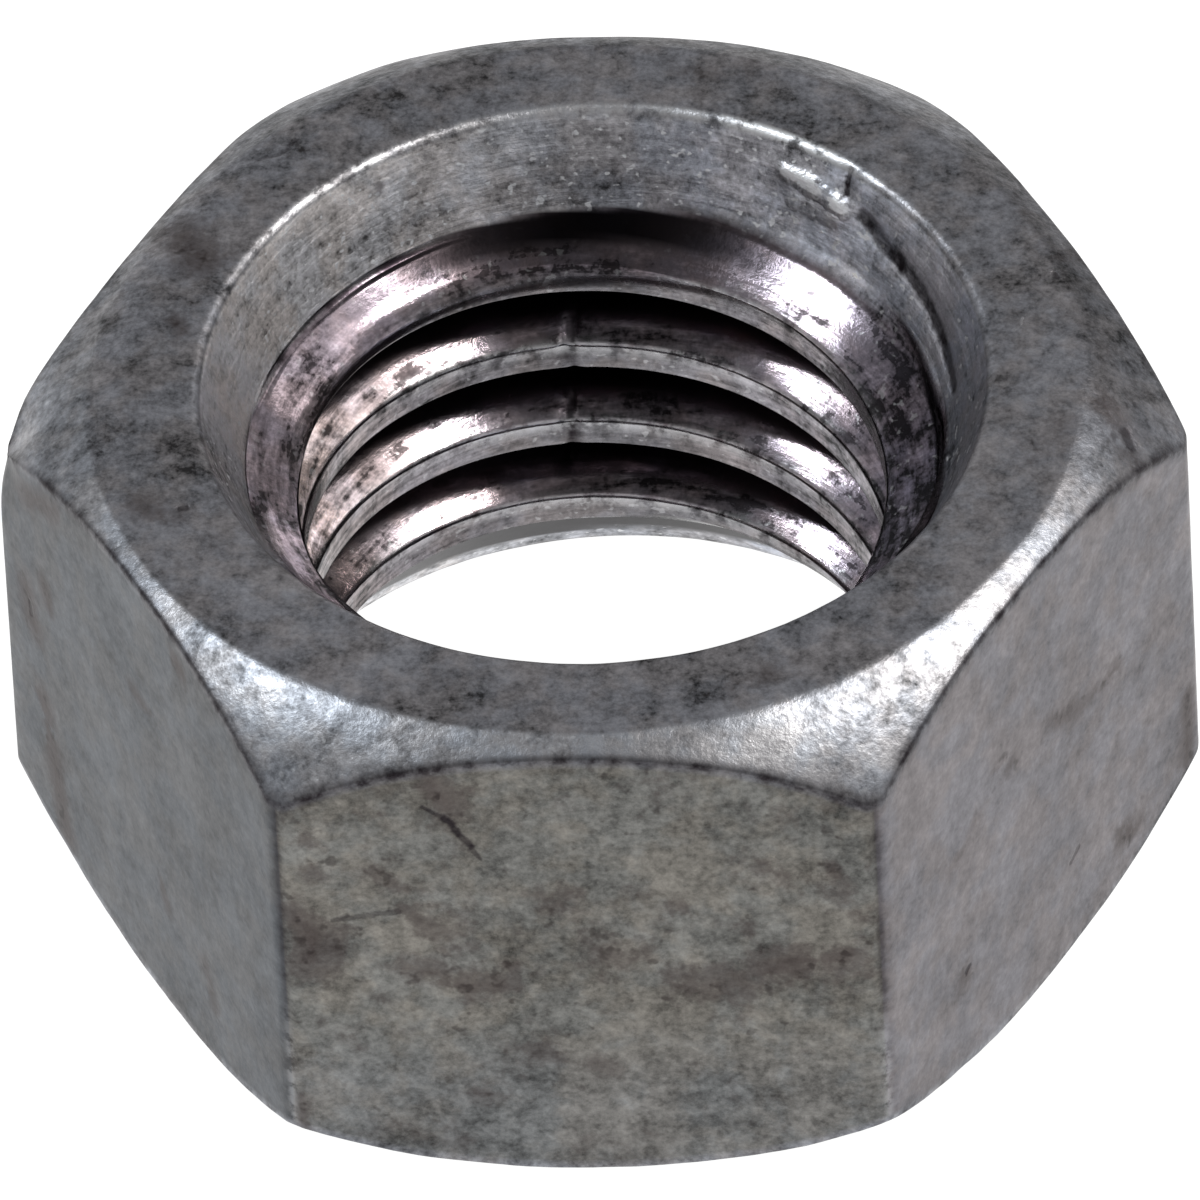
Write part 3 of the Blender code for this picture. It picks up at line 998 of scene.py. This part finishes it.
def with_dirt(graph, place, colour):
    """Adds brown smears in cloudy patches, small dark spots, and bright flecks."""
    stain = graph.attribute("stain")
    soiled = graph.math("MAXIMUM", graph.attribute("soil"), stain)
    cloud = graph.noise(place, scale=1.1, detail=6.0, roughness=0.68)
    cloud = graph.math("ADD", cloud, graph.math("MULTIPLY", stain, SMEAR_BY_STAIN))
    colour = graph.cover(colour, SMEAR_COLOUR, graph.step(cloud, *SMEAR_EDGE), soiled, SMEAR_STRENGTH)
    spot = graph.noise(place, scale=3.2, detail=2.0, roughness=0.5)
    spot = graph.math("ADD", spot, graph.math("MULTIPLY", stain, SPOT_BY_STAIN))
    colour = graph.cover(colour, SPOT_COLOUR, graph.step(spot, *SPOT_EDGE), soiled, SPOT_STRENGTH)
    fleck = graph.noise(graph.millimetres((1.0, 1.0, 1.3)), scale=5.2, detail=1.5, roughness=0.6)
    flecks = graph.attribute("flecks")
    return graph.cover(colour, FLECK_COLOUR, graph.step(fleck, *FLECK_EDGE), flecks, FLECK_STRENGTH)


def drawn_marks(graph):
    """How dark the cuts and the line of painted shade at the wall's end, and how bright the ridges'
    painted highlights, are drawn at each place, with ragged edges.
    """
    rest = graph.attribute("rest")
    cuts_and_shade = graph.strokes(graph.ragged(rest, CUT_RAGGEDNESS), marks(), "dark")
    cuts_and_shade = graph.math("MAXIMUM", cuts_and_shade, wall_end_shade_line(graph, rest))
    ridge_highlight = graph.strokes(graph.ragged(rest, RIDGE_RAGGEDNESS), marks(), "shine")
    return cuts_and_shade, ridge_highlight


def with_lines(graph, colour, middle, cuts_and_shade, ridge_highlight):
    """Adds dark creases, cuts and a line of painted shade, then worn edges and painted highlights on the
    rim and ridges, both broken up by a noise.
    """
    line = graph.math("MAXIMUM", graph.attribute("line"), cuts_and_shade)
    broken = graph.step(middle, low=0.3, high=0.6, start=1.0, end=0.7)
    colour = graph.cover(colour, CREASE_COLOUR, broken, line, 1.0)
    worn_and_highlight = graph.math("MAXIMUM", graph.attribute("worn_and_highlight"), ridge_highlight)
    broken = graph.step(middle, low=0.38, high=0.54, start=0.1, end=1.0)
    return graph.cover(colour, WORN_AND_HIGHLIGHT_COLOUR, broken, worn_and_highlight, WORN_AND_HIGHLIGHT_STRENGTH)


def steel():
    """Dull cold-formed steel: mottled, soiled brown in places, dark in its creases, with painted
    highlights on its rim and ridges and painted shade deep in the thread.
    """
    material = bpy.data.materials.new("nut_steel")
    material.use_nodes = True
    graph = NodeGraph(material)
    place = graph.millimetres()
    middle = graph.noise(place, scale=2.4, detail=4.0, roughness=0.65)
    uneven = mottling(graph, place, middle)
    cuts_and_shade, ridge_highlight = drawn_marks(graph)
    colour = with_dirt(graph, place, clean_colour(graph, place, uneven))
    colour = with_lines(graph, colour, middle, cuts_and_shade, ridge_highlight)

    roughness = graph.attribute("roughness")
    rough = graph.math("ADD", roughness, graph.math("MULTIPLY", uneven, -ROUGHNESS_SWING))
    rough = graph.math("MAXIMUM", rough, SMOOTHEST)
    height = graph.math("MULTIPLY", uneven, graph.math("POWER", roughness, 2.0))
    height = graph.math("SUBTRACT", height, graph.math("MULTIPLY", cuts_and_shade, CUT_BUMP))
    height = graph.math("ADD", height, graph.math("MULTIPLY", ridge_highlight, RIDGE_BUMP))
    sockets = {"Strength": BUMP_STRENGTH, "Distance": BUMP_DISTANCE, "Height": height}
    bump = graph.add("ShaderNodeBump", sockets)

    shader = material.node_tree.nodes["Principled BSDF"]
    graph.feed(shader.inputs["Base Color"], colour)
    graph.feed(shader.inputs["Roughness"], rough)
    graph.feed(shader.inputs["Normal"], bump.outputs[0])
    shader.inputs["Metallic"].default_value = 1.0
    return material


def pale_floor():
    """A white floor that glows, so that it stays white inside the hole and beside the nut."""
    material = bpy.data.materials.new("pale_floor")
    material.use_nodes = True
    material.cycles.emission_sampling = "NONE"
    shader = material.node_tree.nodes["Principled BSDF"]
    shader.inputs["Base Color"].default_value = (0.15, 0.15, 0.15, 1)
    shader.inputs["Roughness"].default_value = 0.9
    shader.inputs["Specular IOR Level"].default_value = 0
    shader.inputs["Emission Color"].default_value = (1, 1, 1, 1)
    shader.inputs["Emission Strength"].default_value = 1.0
    return material


# ---------------------------------------------------------------- camera, lights and floor

CAMERA_AZIMUTH = math.radians(-4.03)
CAMERA_ELEVATION = math.radians(44.51)
CAMERA_ROLL = math.radians(3.10)
CAMERA_DISTANCE = 0.7097
CAMERA_LENS = 1159.2  # a long lens: the nut's edges run almost parallel

FLOOR_RADIUS = 3.0
FLOOR_LEVEL = -0.02 * MM  # clear of the lower bearing face's own unevenness
WALL_STRENGTH = 0.52
CEILING_STRENGTH = 0.11
CEILING_EDGE = (0.72, 0.93)  # sines of the elevations between which the walls turn into the ceiling
SOFTBOX_DISTANCE = 0.3
SOFTBOXES = [
    {"name": "left_softbox", "azimuth": 175, "elevation": 57.5, "width": 0.050, "height": 0.055,
     "radiance": 42.0, "colour": (0.92, 0.97, 1.0)},
    {"name": "right_softbox", "azimuth": -1, "elevation": 55.5, "width": 0.064, "height": 0.064,
     "radiance": 46.0, "colour": (1.0, 0.98, 0.95)},
    {"name": "right_fill", "azimuth": 24, "elevation": 44, "width": 0.16, "height": 0.16,
     "radiance": 1.6, "colour": (1.0, 0.97, 0.94)},
]


def camera_axes():
    """Unit vectors of the camera: right, up and back."""
    az, el, roll = CAMERA_AZIMUTH, CAMERA_ELEVATION, CAMERA_ROLL
    ahead = Vector((math.sin(az) * math.cos(el), math.cos(az) * math.cos(el), -math.sin(el)))
    level_right = Vector((math.cos(az), -math.sin(az), 0))
    level_up = level_right.cross(ahead)
    right = math.cos(roll) * level_right - math.sin(roll) * level_up
    up = math.sin(roll) * level_right + math.cos(roll) * level_up
    return right, up, -ahead


def add_camera():
    right, up, back = camera_axes()
    data = bpy.data.cameras.new("camera")
    data.lens = CAMERA_LENS
    data.sensor_width = 36
    data.clip_start = 0.05
    data.clip_end = 20
    camera = bpy.data.objects.new("camera", data)
    bpy.context.scene.collection.objects.link(camera)
    place = Vector((0, 0, THICKNESS / 2)) + CAMERA_DISTANCE * back
    camera.matrix_world = Matrix.Translation(place) @ Matrix((right, up, back)).transposed().to_4x4()
    bpy.context.scene.camera = camera


def add_softbox(name, azimuth, elevation, width, height, radiance, colour):
    """A rectangular light that faces the nut. Azimuth is measured from +X towards +Y."""
    data = bpy.data.lights.new(name, "AREA")
    data.shape = "RECTANGLE"
    data.size = width
    data.size_y = height
    data.energy = radiance * math.pi * width * height
    data.color = colour
    light = bpy.data.objects.new(name, data)
    bpy.context.scene.collection.objects.link(light)
    az, el = math.radians(azimuth), math.radians(elevation)
    away = Vector((math.cos(az) * math.cos(el), math.sin(az) * math.cos(el), math.sin(el)))
    light.location = Vector((0, 0, THICKNESS / 2)) + SOFTBOX_DISTANCE * away
    light.rotation_euler = away.to_track_quat("Z", "Y").to_euler()


def studio_world():
    """An even pale surround that darkens towards the ceiling."""
    world = bpy.data.worlds.new("studio")
    world.use_nodes = True
    graph = NodeGraph(world)
    direction = graph.add("ShaderNodeTexCoord", {}).outputs["Generated"]
    rise = graph.add("ShaderNodeSeparateXYZ", {"Vector": direction}).outputs["Z"]
    strength = graph.step(rise, *CEILING_EDGE, WALL_STRENGTH, CEILING_STRENGTH)
    background = world.node_tree.nodes["Background"]
    background.inputs["Color"].default_value = (1, 1, 1, 1)
    graph.feed(background.inputs["Strength"], strength)
    return world


def add_lights():
    for softbox in SOFTBOXES:
        add_softbox(**softbox)
    bpy.context.scene.world = studio_world()
    bpy.context.scene.view_settings.view_transform = "Standard"


def add_floor():
    shape = bmesh.new()
    bmesh.ops.create_circle(shape, cap_ends=True, segments=64, radius=FLOOR_RADIUS)
    mesh = bpy.data.meshes.new("floor")
    shape.to_mesh(mesh)
    shape.free()
    mesh.materials.append(pale_floor())
    floor = bpy.data.objects.new("floor", mesh)
    floor.location.z = FLOOR_LEVEL
    bpy.context.scene.collection.objects.link(floor)


def add_body():
    mesh = body_mesh()
    mesh.materials.append(steel())
    body = bpy.data.objects.new("nut_body", mesh)
    bpy.context.scene.collection.objects.link(body)
    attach(body, "root")
    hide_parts("hex_nut")


add_camera()
add_lights()
add_floor()
add_body()
